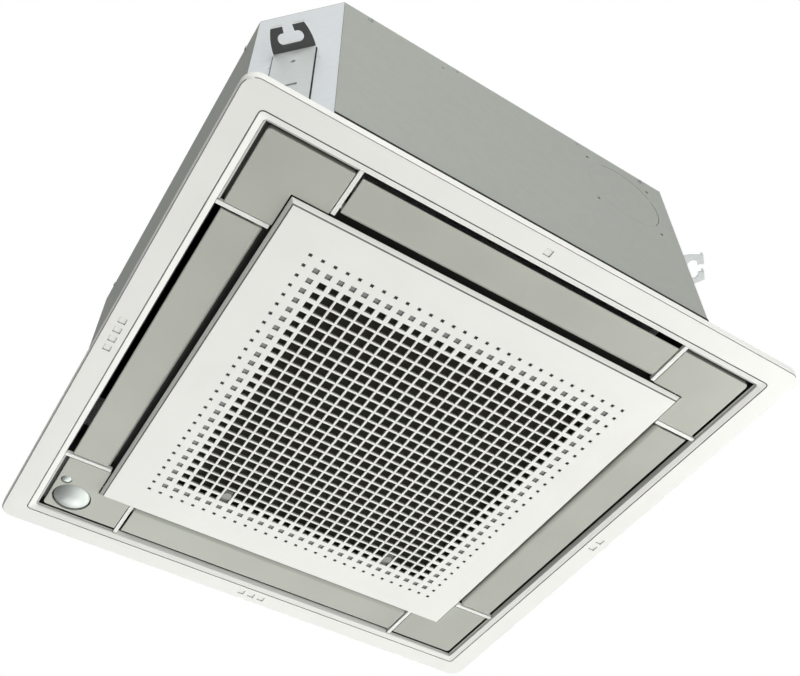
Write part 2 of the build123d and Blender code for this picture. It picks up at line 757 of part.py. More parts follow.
# ---------------------------------------------------------------- decoration panel
def panel_frame():
    """The white moulding: a hollow ribbed flange, the bevelled recess, four corner decks, eight dividers."""
    face = -flange_depth
    frame = slab(rounded_square(panel_half, flange_corner_r), face, 0)
    frame = chamfer(frame.faces().sort_by(Axis.Z)[0].outer_wire().edges(), flange_edge_r * 0.6)
    corner_r, inside = opening_corner_r, face + panel_wall
    frame -= square_ring(panel_half - panel_wall, well_out, inside, 1, flange_corner_r - panel_wall, corner_r)
    frame += square_ring(well_out, deck_half - 1, inside, deck_top, corner_r, corner_r)
    frame += corner_decks()
    frame -= frustum(groove_half, face, wall_half, face + bevel_rise, opening_corner_r, opening_corner_r)
    frame -= frustum(wall_half, face + bevel_rise, deck_half, deck_z, opening_corner_r, opening_corner_r)
    frame += dividers() + corner_pads()
    groove = square_ring(groove_half + groove_width, groove_half, face - 1, face + groove_deep,
                         opening_corner_r + groove_width, opening_corner_r)
    frame -= groove
    frame += flange_ribs()
    for quarter, count in enumerate((1, 2, 3, 4)):
        for n in range(count):
            x = (n - (count - 1) / 2) * mark_pitch
            dip = Pos(x, -mark_mid) * slab(Rectangle(mark_side, mark_side), face - 1, face + mark_deep)
            frame -= turned(dip, quarter)
        frame -= turned(disc(screw_r + 0.6, *panel_screw_at, deck_z - 1, deck_top + 1), quarter)
    return frame


def corner_decks():
    """What the corner covers stand on, with a window for each flap motor."""
    decks = None
    for quarter in range(4):
        deck = block(divider_start, well_out, divider_start, well_out, deck_z, deck_top)
        deck -= block(0, recess_half + 2, 0, recess_half + 2, deck_z - 1, deck_top + 1)
        deck -= motor_window(deck_z - 1)
        decks = turned(deck, quarter) if decks is None else decks + turned(deck, quarter)
    return decks


def dividers():
    """Eight bars beside the flaps, each with the bearing for a flap's pin."""
    bars = None
    for quarter in range(4):
        for side in (-1, 1):
            a, b = sorted((side * divider_start, side * divider_end))
            bar = block(a, b, -deck_half - 1, -recess_half - 1, trim_z, deck_top)
            bar -= rod_x(flap_pin_r + running_gap, a - 1, b + 1, -flap_pivot_r, 0)
            bar = turned(bar, quarter)
            bars = bar if bars is None else bars + bar
    return bars


def corner_pads():
    """The recess wall stands a little further in beside the corner covers."""
    a, b = deck_half - corner_pad, deck_half + wall_lean
    pads = None
    for quarter in range(4):
        pad = block(divider_end, b, a, b, trim_z + 1, deck_top) + block(a, b, divider_end, b, trim_z + 1, deck_top)
        pads = turned(pad, quarter) if pads is None else pads + turned(pad, quarter)
    return pads


def flange_ribs():
    """Thin ribs that stiffen the hollow back of the flange."""
    ribs = None
    count = int(panel_side / rib_pitch) - 1
    for quarter in range(4):
        for n in range(count):
            x = (n - (count - 1) / 2) * rib_pitch
            rib = block(x - rib_thick / 2, x + rib_thick / 2, -panel_half + panel_wall, -well_out,
                        -flange_depth + panel_wall, 0)
            rib = turned(rib, quarter)
            ribs = rib if ribs is None else ribs + rib
    return ribs


def panel_duct():
    """The dark moulding behind the frame: four outlet ducts round a square inlet well."""
    duct = square_ring(recess_half + 2, inlet_half - panel_wall, web_z, web_z + panel_wall)
    duct += square_ring(inlet_half, inlet_half - panel_wall, web_z, duct_top_z)
    tube_end = divider_start + panel_wall
    for quarter in range(4):
        tube = block(-tube_end, tube_end, -duct_out - panel_wall, -duct_in + panel_wall, deck_top, duct_top_z)
        tube -= block(-divider_start, divider_start, -duct_out, -duct_in, deck_top - 1, duct_top_z + 1)
        duct += turned(tube, quarter)
        foot = block(divider_start, deck_half, divider_start, deck_half, deck_top, deck_top + panel_wall)
        foot -= block(0, recess_half + 2, 0, recess_half + 2, deck_top - 1, deck_top + panel_wall + 1)
        foot += disc(6, *panel_screw_at, deck_top, duct_top_z)
        foot -= disc(screw_r + 0.6, *panel_screw_at, deck_top - 1, duct_top_z + 1)
        a, b = recess_half, recess_half + 6
        bridge = block(a, b, a, b, deck_top, web_z + panel_wall)
        duct += turned(foot, quarter) + turned(bridge, quarter)
        duct -= turned(motor_window(deck_top - 1), quarter)
    for x in (-hinge_at_x, hinge_at_x):
        duct += hinge_hanger(x)
    for x in (-latch_at_x, latch_at_x):
        duct -= block(x - latch_half - 1, x + latch_half + 1, inlet_half + 0.5, latch_y_out + 3.5,
                      web_z - 1, web_z + panel_wall + 1)
    return duct


def motor_window(low):
    """The room above low that a flap motor takes at the corner, with a little air round it."""
    a, b = flap_pivot_r - flap_motor_r - 1, flap_pivot_r + flap_motor_r + 1
    end = divider_end + flap_motor_length + 1
    return block(a, b, divider_end - 1, end, low, flap_motor_rise + flap_motor_r + 1)


def hinge_hanger(x):
    """An arm from the inlet wall, with the eye that holds the grille's hinge pin."""
    half = knuckle_width / 2
    arm_y = -inlet_half + panel_wall
    arm = block(x - half, x + half, -inlet_half, arm_y, hinge_z - 2, web_z + 1)
    arm += block(x - half, x + half, hinge_y, arm_y, hinge_z - 2, hinge_z + 2)
    arm += rod_x(hinge_eye_r, x - half, x + half, hinge_y, hinge_z)
    return arm - rod_x(hinge_pin_r + hinge_gap, x - half - 1, x + half + 1, hinge_y, hinge_z)


def panel_seal():
    """Foam strips on the top edges of the inlet well and the four outlet ducts."""
    strips = [square_ring(inlet_half, inlet_half - panel_wall, duct_top_z, seal_top)]
    end, wall = divider_start, panel_wall
    for quarter in range(4):
        strip = block(-end - wall, end + wall, -duct_out - wall, -duct_in + wall, duct_top_z, seal_top)
        strip -= block(-end, end, -duct_out, -duct_in, duct_top_z - 1, seal_top + 1)
        strips.append(turned(strip, quarter))
    return strips


def flap(quarter):
    """A louvre with a rolled inner edge round its pivot and a pin at each end."""
    centre, r, tip = (-flap_pivot_r, 0), flap_nose_r, -flap_tip_r
    inner = r - flap_thick
    low = trim_z
    profile = Line((-flap_pivot_r + r, 0), (-flap_pivot_r + inner, 0))
    profile += ThreePointArc((centre[0] + inner, 0), (centre[0] + inner * sqrt(0.5), -inner * sqrt(0.5)),
                             (centre[0], -inner))
    profile += Line((centre[0], -inner), (tip + 2, low + flap_thick))
    profile += ThreePointArc((tip + 2, low + flap_thick), (tip + 0.2, low + flap_thick - 0.5),
                             (tip, low + 1.2))
    profile += ThreePointArc((tip, low + 1.2), (tip + 0.4, low + 0.35), (tip + 1.3, low))
    profile += Line((tip + 1.3, low), (centre[0], -r))
    profile += ThreePointArc((centre[0], -r), (centre[0] + r * sqrt(0.5), -r * sqrt(0.5)), (centre[0] + r, 0))
    half = flap_length / 2
    end = Plane(origin=(-half, 0, 0), x_dir=(0, 1, 0), z_dir=(1, 0, 0))
    louvre = extrude(end * make_face(profile), flap_length)
    for side in (-1, 1):
        a, b = sorted((side * (half - 3), side * half))
        louvre += rod_x(r - 0.5, a, b, -flap_pivot_r, 0)
    inner_y = r - flap_pivot_r
    plan = Pos(0, (inner_y + tip) / 2) * RectangleRounded(flap_length, inner_y - tip, flap_corner_r)
    plan += Pos(0, tip + flap_corner_r) * Rectangle(flap_length, 2 * flap_corner_r)
    louvre &= slab(plan, -2 * r, 2 * r)
    for side in (-1, 1):
        a, b = sorted((side * (half - 1), side * (divider_end + (flap_pin_in if side > 0 else -seat_gap))))
        louvre += rod_x(flap_pin_r, a, b, -flap_pivot_r, 0)
    return turned(louvre, quarter)


def flap_motors():
    """Four small geared steppers, each on the outer face of a divider, with an offset socket for the pin."""
    motors = []
    for quarter in range(4):
        x0 = divider_end
        can = rod_x(flap_motor_r, x0, x0 + flap_motor_length, -flap_pivot_r, flap_motor_rise)
        can -= rod_x(flap_pin_r + running_gap, x0 - 1, x0 + 7, -flap_pivot_r, 0)
        motors.append(turned(can, quarter))
    return motors


def corner_cover(quarter, sensors=False):
    """An L of painted plastic that stands on the corner deck by two edge walls."""
    a, b, c = cover_start, cover_half, recess_half
    plan = make_face(Polyline((c, a), (b, a), (b, b), (a, b), (a, c), (c, c), close=True))
    corner = plan.vertices().sort_by(Axis((0, 0, 0), (1, 1, 0)))[-1]
    plan = fillet(corner, cover_corner_r)
    plate = slab(plan, trim_z, trim_z + cover_thick)
    plate = fillet(plate.faces().sort_by(Axis.Z)[0].edges().filter_by(GeomType.LINE).sort_by(Edge.length)[-2:],
                   cover_edge_r)
    inside = b - cover_thick
    walls = slab(plan, trim_z + cover_thick, deck_z) - block(0, inside, 0, inside, trim_z, deck_z + 1)
    cover = plate + walls
    if sensors:
        for r, at in ((dome_r, dome_at), (lens_r, lens_at)):
            cover -= disc(r + dome_gap * r / dome_r, *at, trim_z - 1, trim_z + 4)
    return turned(cover, quarter)


def dome_sensor(r, at, rise):
    """A round sensor: a dome a little sunk in its hole, on a barrel that stands on the deck."""
    ball_r = (r * r + rise * rise) / (2 * rise)
    x, y = at
    rim = trim_z + dome_sunk
    cap = Pos(x, y, rim - rise + ball_r) * Sphere(ball_r) & disc(r, x, y, rim - rise - 1, rim)
    return cap + disc(r, x, y, rim, rim + sensor_depth)


def hole_grid(across, side, edge_only=False):
    """The squares of a grid of holes, or only those in its outermost rows."""
    edge = hole_pitch * (across - 1) / 2
    return [at * Rectangle(side, side) for at in GridLocations(hole_pitch, hole_pitch, across, across)
            if not edge_only or max(abs(at.position.X), abs(at.position.Y)) > edge - 1]


def grille_plate():
    """The face: through holes, then a ring of smaller ones, a ring of blind pockets and a ring of dots."""
    back = grille_face_z + grille_wall
    through = hole_grid(holes_across, hole_side) + hole_grid(holes_across + 2, edge_hole_side, True)
    blind = hole_grid(holes_across + 4, pocket_side, True) + hole_grid(holes_across + 6, dot_side, True)
    plate = slab(rounded_square(plate_half) - through, grille_face_z, back)
    return plate - [slab(square, grille_face_z - 1, grille_face_z + pocket_deep) for square in blind]


def suction_grille():
    """The hinged grille: a sloped rim round the perforated plate, with a wall round the filter."""
    back = grille_face_z + grille_wall
    body = frustum(grille_half, grille_face_z, skirt_half, trim_z)
    body -= frustum(grille_half - grille_wall, back, skirt_half - 2, trim_z + 0.01)
    body -= slab(rounded_square(plate_half), grille_face_z - 1, back + 1)
    wall_in = filter_side / 2 + filter_wall_gap
    body += square_ring(wall_in + grille_wall, wall_in, back - 0.2, filter_z + filter_thick)
    body += grille_plate()
    for x in (-hinge_at_x, hinge_at_x):
        body += hinge_ears(x)
    for x in (-latch_at_x, latch_at_x):
        body -= block(x - hole_side / 2, x + hole_side / 2, latch_y_in - 4, latch_tongue_y + 11,
                      grille_face_z - 1, back + 1)
        body -= block(x - latch_half - 0.4, x + latch_half + 0.4, wall_in - 1, wall_in + grille_wall + 1,
                      back, filter_z)
    return body


def hinge_ears(x):
    """Two ears with the hinge pin between them."""
    half = knuckle_width / 2 + 0.5
    ears = None
    for side in (-1, 1):
        a, b = sorted((x + side * half, x + side * (half + ear_width)))
        ear = block(a, b, hinge_y - 4, hinge_y + 4, grille_face_z + grille_wall - 0.2, hinge_z)
        ear += rod_x(4, a, b, hinge_y, hinge_z)
        ears = ear if ears is None else ears + ear
    return ears + rod_x(hinge_pin_r, x - half - 1, x + half + 1, hinge_y, hinge_z)


def air_filter():
    """A framed net that lies on the grille's back."""
    half = filter_side / 2
    top = filter_z + filter_thick
    frame = square_ring(half, half - 6, filter_z, top)
    for place in (-filter_side / 6, filter_side / 6):
        frame += block(place - 1, place + 1, -half + 5, half - 5, filter_z, top)
        frame += block(-half + 5, half - 5, place - 1, place + 1, filter_z, top)
    return frame + block(-half + 5, half - 5, -half + 5, half - 5, filter_z + 1, filter_z + 1 + net_thick)


def grille_latch(x):
    """A sliding catch: a finger tongue in the grille's opening, a bar, and an upright with a nose."""
    half, tongue_r = latch_half, latch_half - 0.2
    z0, z1 = grille_face_z + grille_wall + 0.2, filter_z - 0.3
    y_out, nose_z = latch_y_out - 1, web_z + panel_wall + 0.5
    bar = block(x - half, x + half, latch_y_in + 1, y_out, z0, z1)
    tongue = block(x - tongue_r, x + tongue_r, latch_tongue_y, latch_tongue_y + 4.5, grille_face_z + 0.3, z0)
    tongue += disc(tongue_r, x, latch_tongue_y, grille_face_z + 0.3, z0)
    upright = block(x - half, x + half, y_out - latch_wall, y_out, z1 - 1, nose_z + latch_wall)
    nose = block(x - half, x + half, y_out, y_out + 2.5, nose_z, nose_z + latch_wall)
    return bar + tongue + upright + nose


def panel_screws():
    screws = []
    for quarter in range(4):
        screw = disc(screw_r, *panel_screw_at, deck_z, pan_low + 18)
        screw += disc(screw_head_r, *panel_screw_at, deck_z - screw_head, deck_z)
        screws.append(turned(screw, quarter))
    return screws


def wiring_grommet():
    """A rubber ring in the +X side for the supply cable."""
    x0 = casing_half - sheet
    ring = rod_x(grommet_bore_r + 4, casing_half, casing_half + 2, grommet_y, grommet_z)
    ring += rod_x(grommet_bore_r + 2, x0 - 3, casing_half, grommet_y, grommet_z)
    return ring - rod_x(grommet_bore_r, x0 - 4, casing_half + 3, grommet_y, grommet_z)


parts["panel_frame"] = panel_frame()
parts["panel_duct"] = panel_duct()
parts["panel_seal"] = panel_seal()
parts["panel_screws"] = panel_screws()
parts["wiring_grommet"] = wiring_grommet()
for quarter, side in enumerate(SIDES):
    parts[f"flap_{side}"] = flap(quarter)
parts["flap_motors"] = flap_motors()
for quarter, corner in enumerate(("back_right", "back_left", "front_left", "front_right")):
    if quarter == 1:
        parts["sensor_cover"] = corner_cover(quarter, sensors=True)
    else:
        parts[f"corner_cover_{corner}"] = corner_cover(quarter)
parts["presence_sensor"] = turned(dome_sensor(dome_r, dome_at, dome_rise), 1)
parts["floor_sensor"] = turned(dome_sensor(lens_r, lens_at, lens_rise), 1)
parts["suction_grille"] = suction_grille()
parts["air_filter"] = air_filter()
parts["grille_latch_left"] = grille_latch(-latch_at_x)
parts["grille_latch_right"] = grille_latch(latch_at_x)


for name, piece in parts.items():
    solids = piece if isinstance(piece, list) else [piece]
    export_step(Compound(children=[s for group in solids for s in group.solids()]), f"parts/{name}.step")
    print(name, [round(v, 1) for v in Compound(children=solids).bounding_box().size])
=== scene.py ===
"""Finishes, small detail, light and camera for a ceiling cassette air conditioner, over its CAD frame."""
import math

import bmesh
import bpy
from mathutils import Matrix, Vector


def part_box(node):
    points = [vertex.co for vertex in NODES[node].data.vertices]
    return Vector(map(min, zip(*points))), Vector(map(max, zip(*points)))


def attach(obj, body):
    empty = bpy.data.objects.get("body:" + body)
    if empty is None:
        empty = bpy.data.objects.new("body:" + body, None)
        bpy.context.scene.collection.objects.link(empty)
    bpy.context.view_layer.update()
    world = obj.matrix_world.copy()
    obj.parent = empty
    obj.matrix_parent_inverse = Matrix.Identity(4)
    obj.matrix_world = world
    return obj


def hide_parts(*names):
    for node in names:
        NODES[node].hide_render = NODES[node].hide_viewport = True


bl_info = {
    "name": "Ceiling cassette air conditioner",
    "version": (1, 0, 0),
    "blender": (4, 5, 0),
    "location": "View3D > Sidebar > Cassette",
    "description": "Dresses the packed ceiling cassette and sets its studio",
    "category": "Object",
}

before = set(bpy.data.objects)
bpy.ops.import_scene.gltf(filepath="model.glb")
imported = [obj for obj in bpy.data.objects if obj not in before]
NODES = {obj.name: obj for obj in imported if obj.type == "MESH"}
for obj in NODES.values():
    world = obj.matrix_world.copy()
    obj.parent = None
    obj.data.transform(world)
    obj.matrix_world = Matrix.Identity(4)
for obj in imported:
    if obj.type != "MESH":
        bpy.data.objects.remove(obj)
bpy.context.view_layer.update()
MM = 0.001
SIDES = ("front", "right", "back", "left")
PANEL_SCREW_ASIDE = 205.0
CORNER_DIAGONAL = 359.5
TAB_LEVEL = 0.2
FACE_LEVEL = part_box("suction_grille")[0][2]
RIM_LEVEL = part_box("panel_frame")[0][2]
KNOCKOUT = (149.6, 233.5, 50.5)
BELL_SCREW_ASIDE = 185.0
# distances from the unit's axis, and levels, in metres, where the painted shade of the recess, the rim, the holes
# and the grille's seam starts or changes
DIVIDER_END = 0.187
RECESS_WALL = 0.2785
RIM_SHADE_FROM = 0.307
DOTS_FROM = 0.176
PLATE_HALF = 0.19
SEAM_SHADE_FROM = 0.2
DEEP_SHADE_LEVEL = -0.0013
CORNER_SHADE_DROP = -0.0034
COVERS = ("corner_cover_back_right", "corner_cover_front_left", "corner_cover_front_right", "sensor_cover")


# ---------------------------------------------------------------- colours and nodes
def linear(hex_colour):
    """An sRGB hex colour as the linear values that a shader's socket takes."""
    parts = [int(hex_colour[i:i + 2], 16) / 255 for i in (1, 3, 5)]
    return [c / 12.92 if c <= 0.04045 else ((c + 0.055) / 1.055) ** 2.4 for c in parts] + [1.0]


def add(tree, kind, settings=None, **links):
    """Adds a node, sets its properties, and fills each input with a value or links it to a socket.

    An input is named by its identifier with spaces written as underscores."""
    made = tree.nodes.new(kind)
    for key, value in (settings or {}).items():
        setattr(made, key, value)
    by_name = {}
    for socket in made.inputs:
        by_name.setdefault(socket.name.replace(" ", "_"), socket)
        by_name[socket.identifier.replace(" ", "_")] = socket
    for key, value in links.items():
        socket = by_name[key]
        if isinstance(value, bpy.types.NodeSocket):
            tree.links.new(value, socket)
        else:
            socket.default_value = value
    return made


def new_material(name):
    """An empty node material and its tree."""
    material = bpy.data.materials.new(name)
    material.use_nodes = True
    material.node_tree.nodes.clear()
    return material, material.node_tree


def finish(tree, shader):
    """Links a shader to the material's output."""
    add(tree, "ShaderNodeOutputMaterial", Surface=shader.outputs[0])


def object_point(tree):
    """The point in the object's own metres, which is the row frame for every piece here."""
    return add(tree, "ShaderNodeTexCoord").outputs["Object"]


def per_metre(size_mm):
    """A texture scale that gives features of about this size."""
    return 1000.0 / size_mm


def tinted(colour, factor):
    """A colour made darker or lighter by a factor."""
    return [min(1.0, c * factor) for c in colour[:3]] + [1.0]


def mixed(tree, factor, first, second):
    """The first colour where the factor is 0, and the second where it is 1."""
    return add(tree, "ShaderNodeMix", {"data_type": "RGBA"}, Factor_Float=factor, A_Color=first,
               B_Color=second).outputs[2]


def blend(tree, factor, dark, light, low=0.35, high=0.65):
    """A colour that runs from dark to light as the factor runs from low to high."""
    spread = add(tree, "ShaderNodeMapRange", Value=factor, From_Min=low, From_Max=high)
    return mixed(tree, spread.outputs[0], dark, light)


def shifted(tree, factor, colour, spread):
    """A colour that drifts by its spread, darker and lighter, with the factor."""
    return blend(tree, factor, tinted(colour, 1 - spread), tinted(colour, 1 + spread))


def ranged(tree, factor, low, high):
    """The factor moved from 0..1 to low..high."""
    return add(tree, "ShaderNodeMapRange", Value=factor, To_Min=low, To_Max=high).outputs[0]


def softened(tree, radius_mm, height=None, strength=0.0, relief_mm=0.0):
    """The surface's normal with its edges rounded off by a radius, and a fine relief on it if one is given."""
    edge = add(tree, "ShaderNodeBevel", {"samples": 4}, Radius=radius_mm * MM).outputs[0]
    if height is None:
        return edge
    return add(tree, "ShaderNodeBump", Height=height, Strength=strength, Distance=relief_mm * MM,
               Normal=edge).outputs[0]


def maths(tree, operation, *values):
    """One step of arithmetic on numbers or sockets."""
    names = ("Value", "Value_001", "Value_002")
    return add(tree, "ShaderNodeMath", {"operation": operation}, **dict(zip(names, values))).outputs[0]


def sine(tree, distance, pitch_mm):
    """A wave along a distance, with one crest in each pitch."""
    return maths(tree, "SINE", maths(tree, "MULTIPLY", distance, per_metre(pitch_mm) * 2 * math.pi))


def deeper(tree, colour, shade, level, past_mm=0.5):
    """The colour up to a height of the object, and the shade past it."""
    split = add(tree, "ShaderNodeSeparateXYZ", Vector=object_point(tree))
    past = add(tree, "ShaderNodeMapRange", Value=maths(tree, "SUBTRACT", split.outputs[2], level),
               From_Max=past_mm * MM)
    return mixed(tree, past.outputs[0], colour, shade)


def lined(tree, tone, shade, across, start, level, high_mm):
    """The tone with a line of the shade round the object, this high above a level and beyond a side distance."""
    height = add(tree, "ShaderNodeSeparateXYZ", Vector=object_point(tree)).outputs[2]
    line = maths(tree, "COMPARE", height, level + high_mm * MM / 2, high_mm * MM / 2)
    line = maths(tree, "MULTIPLY", line, maths(tree, "GREATER_THAN", across, start))
    return mixed(tree, line, tone, shade)


def side_distance(tree, operation="MAXIMUM"):
    """How far a point lies from the unit's axis, along X or Y, whichever is more (or less)."""
    split = add(tree, "ShaderNodeSeparateXYZ", Vector=object_point(tree))
    return maths(tree, operation, maths(tree, "ABSOLUTE", split.outputs[0]),
                 maths(tree, "ABSOLUTE", split.outputs[1]))


# ---------------------------------------------------------------- materials
def moulded_plastic(name, colour, rough=0.45, grain_mm=0.9, relief_mm=0.01, spread=0.02, ior=1.52, edge_mm=0.4,
                    shade=None):
    """Injection moulded plastic: slow shifts of tone, and a fine spark-eroded grain in gloss and relief.

    shade is a function that takes the tree and the colour and returns the colour as it ends up."""
    material, tree = new_material(name)
    point = object_point(tree)
    patch = add(tree, "ShaderNodeTexNoise", Vector=point, Scale=per_metre(60.0), Detail=2.0)
    grain = add(tree, "ShaderNodeTexNoise", Vector=point, Scale=per_metre(grain_mm), Detail=3.0)
    tone = shifted(tree, patch.outputs[0], colour, spread)
    shader = add(tree, "ShaderNodeBsdfPrincipled", IOR=ior,
                 Base_Color=shade(tree, tone) if shade else tone,
                 Roughness=ranged(tree, grain.outputs[0], rough - 0.05, rough + 0.05),
                 Normal=softened(tree, edge_mm, grain.outputs[0], 0.5, relief_mm))
    finish(tree, shader)
    return material


def painted_crevice_shade(tree, tone, settings):
    """The tone with painted shade in narrow grooves and small pockets, darker the more closed in a point is."""
    opened = add(tree, "ShaderNodeAmbientOcclusion", {"samples": 8, "only_local": True},
                 Distance=settings.crevice * MM)
    return blend(tree, opened.outputs["AO"], tinted(settings.white, 0.02), tone, 0.4, 0.85)


def white_frame_plastic(settings):
    """White high impact polystyrene: a clean satin surface. Deep in the recess the frame is painted matt black as
    shade, so the gaps beside the covers and flaps read dark, and a fine line of painted shade runs round the rim's
    lower edge.
    """
    def shade(tree, tone):
        tone = painted_crevice_shade(tree, tone, settings)
        # painted shade: matt black deep in the recess, from a lower level in the corners, so the gaps beside the
        # covers and flaps read dark
        black = linear("#12120F")
        corner = maths(tree, "GREATER_THAN", side_distance(tree, "MINIMUM"), DIVIDER_END)
        level = maths(tree, "MULTIPLY_ADD", corner, CORNER_SHADE_DROP, DEEP_SHADE_LEVEL)
        recess_shade = deeper(tree, tone, black, level)
        across = side_distance(tree)
        inside = maths(tree, "LESS_THAN", across, RECESS_WALL)
        tone = mixed(tree, inside, tone, recess_shade)
        # painted shade: a fine dark line round the rim's lower edge, where it rounds away
        return lined(tree, tone, tinted(settings.white, 0.25), across, RIM_SHADE_FROM, RIM_LEVEL + 0.1 * MM,
                     settings.outline)
    return moulded_plastic("white_hips_moulded_satin", settings.white, 0.46, settings.grain, 0.01, 0.012, 1.59,
                           settings.edge_radius, shade)


def white_grille_plastic(settings):
    """The same white plastic on the grille, painted darker with depth in its holes and pockets as their shade,
    nearly black in the outer dots, with a line of painted shade in the step from face to skirt.
    """
    def shade(tree, tone):
        across = side_distance(tree)
        # painted shade: the floors and walls of holes and pockets darken with depth, nearly black in the outer
        # dots
        dots = maths(tree, "GREATER_THAN", across, DOTS_FROM)
        floor = mixed(tree, dots, tinted(settings.white, 0.28), tinted(settings.white, 0.03))
        depth_shaded = deeper(tree, tone, floor, FACE_LEVEL + 0.0003, 0.9)
        plate = maths(tree, "LESS_THAN", across, PLATE_HALF)
        tone = mixed(tree, plate, tone, depth_shaded)
        # painted shade: a dark line in the step between the grille's face and its skirt
        tone = lined(tree, tone, tinted(settings.white, 0.15), across, SEAM_SHADE_FROM, FACE_LEVEL + 0.1 * MM,
                     settings.seam)
        return painted_crevice_shade(tree, tone, settings)
    return moulded_plastic("white_hips_grille_satin", settings.white, 0.46, settings.grain, 0.01, 0.012, 1.59,
                           settings.edge_radius, shade)


def silver_lacquered_plastic(settings):
    """Silver lacquer on a moulded plastic: a soft metallic grey, with aluminium flakes under a satin binder."""
    material, tree = new_material("abs_moulded_silver_lacquer")
    point = object_point(tree)
    # real flakes are about 0.05 mm; drawn at 0.6 mm so that they just show
    flake = add(tree, "ShaderNodeTexVoronoi", Vector=point, Scale=per_metre(0.6))
    patch = add(tree, "ShaderNodeTexNoise", Vector=point, Scale=per_metre(80.0), Detail=2.0)
    glint = add(tree, "ShaderNodeMapRange", Value=flake.outputs["Distance"], From_Max=0.8, To_Max=0.12)
    colour = mixed(tree, glint.outputs[0], shifted(tree, patch.outputs[0], settings.silver, 0.03),
                   tinted(settings.silver, 1.4))
    shader = add(tree, "ShaderNodeBsdfPrincipled", Base_Color=colour, Metallic=0.25, IOR=1.5,
                 Roughness=ranged(tree, flake.outputs["Distance"], 0.48, 0.58),
                 Normal=softened(tree, settings.edge_radius))
    finish(tree, shader)
    return material


def sheet_metal(name, colour, metallic, rough, spangle_mm, spread=0.045, shadow_level=None):
    """Coated steel sheet: a flat grey, with faint crystal facets and slow changes of gloss from rolling.

    shadow_level is the height of a flat face painted dark, as the shadow that falls on it."""
    material, tree = new_material(name)
    point = object_point(tree)
    spangle = add(tree, "ShaderNodeTexVoronoi", {"distance": "CHEBYCHEV"}, Vector=point,
                  Scale=per_metre(spangle_mm), Randomness=1.0)
    mottle = add(tree, "ShaderNodeTexNoise", Vector=point, Scale=per_metre(90.0), Detail=3.0)
    facet = add(tree, "ShaderNodeSeparateColor", Color=spangle.outputs["Color"])
    tone = maths(tree, "MULTIPLY_ADD", facet.outputs[0], 0.25, ranged(tree, mottle.outputs[0], 0.1, 0.65))
    colour_now = blend(tree, tone, tinted(colour, 1 - spread), tinted(colour, 1 + spread), 0.2, 0.8)
    if shadow_level is not None:
        height = add(tree, "ShaderNodeSeparateXYZ", Vector=point).outputs[2]
        # painted shadow on the flat face at this height
        tab_shadow = maths(tree, "COMPARE", height, shadow_level, 0.1 * MM)
        colour_now = mixed(tree, tab_shadow, colour_now, tinted(colour, 0.12))
    rolled = add(tree, "ShaderNodeMapping", Vector=point, Scale=(1.0, 1.0, 0.02))
    streak = add(tree, "ShaderNodeTexNoise", Vector=rolled.outputs[0], Scale=per_metre(3.0), Detail=2.0)
    shader = add(tree, "ShaderNodeBsdfPrincipled", Metallic=metallic, Base_Color=colour_now,
                 Roughness=ranged(tree, mottle.outputs[0], rough - 0.06, rough + 0.06),
                 Normal=softened(tree, 0.2, streak.outputs[0], 0.08, 0.02))
    finish(tree, shader)
    return material


def galvanised_sheet(settings):
    """Hot dip zinc coated sheet: matt warm grey, lighter and darker in very faint crystals some 9 mm across."""
    return sheet_metal("galvanised_steel_rolled", settings.sheet, 0.12, 0.66, settings.spangle)


def corner_lit_sheet(settings):
    """The same sheet on the corner plates: smoother, and painted cooler and brighter for the light the cut corners
    catch.
    """
    return sheet_metal("galvanised_steel_skin_passed", settings.corner, 0.2, 0.4, settings.spangle * 0.7, 0.03)


def zinc_plate(colour, name):
    """Electro zinc plated pressings: cleaner and brighter than the galvanised sheet."""
    return sheet_metal(name, colour, 0.55, 0.42, 4.0)


def plain_metal(name, colour, rough, line_mm, axis_scale=(1.0, 1.0, 1.0)):
    """Drawn or turned metal: full reflection, broken by fine lines along the way it was worked."""
    material, tree = new_material(name)
    stretched = add(tree, "ShaderNodeMapping", Vector=object_point(tree), Scale=axis_scale)
    lines = add(tree, "ShaderNodeTexNoise", Vector=stretched.outputs[0], Scale=per_metre(line_mm), Detail=2.0)
    shader = add(tree, "ShaderNodeBsdfPrincipled", Metallic=1.0,
                 Base_Color=shifted(tree, lines.outputs[0], colour, 0.12),
                 Roughness=ranged(tree, lines.outputs[0], rough - 0.08, rough + 0.08))
    finish(tree, shader)
    return material


def fin_pack(settings):
    """Aluminium fins: thin upright blades side by side, drawn as fine bright and dark lines, the dark ones painted
    shade in the gaps between blades.
    """
    material, tree = new_material("aluminium_fins_pressed")
    split = add(tree, "ShaderNodeSeparateXYZ", Vector=object_point(tree))
    wave = sine(tree, maths(tree, "ADD", split.outputs[0], split.outputs[1]), settings.fin_pitch)
    relief = add(tree, "ShaderNodeBump", Height=wave, Strength=0.7, Distance=0.5 * MM)
    # the dark lines are painted shade in the gaps between blades
    shader = add(tree, "ShaderNodeBsdfPrincipled", Metallic=1.0, Roughness=0.38, Normal=relief.outputs[0],
                 Base_Color=blend(tree, wave, tinted(settings.fins, 0.15), settings.fins, -0.2, 1.0))
    finish(tree, shader)
    return material


def foam(name, colour, cell_mm, rough=0.95):
    """Closed cell foam: dull, with the pinprick texture of its cut cells."""
    material, tree = new_material(name)
    cells = add(tree, "ShaderNodeTexVoronoi", Vector=object_point(tree), Scale=per_metre(cell_mm))
    relief = add(tree, "ShaderNodeBump", Height=cells.outputs["Distance"], Strength=0.6, Distance=0.3 * MM)
    shader = add(tree, "ShaderNodeBsdfPrincipled", Roughness=rough, IOR=1.4, Normal=relief.outputs[0],
                 Base_Color=blend(tree, cells.outputs["Distance"], tinted(colour, 0.8), tinted(colour, 1.1),
                                  0.1, 0.6))
    finish(tree, shader)
    return material


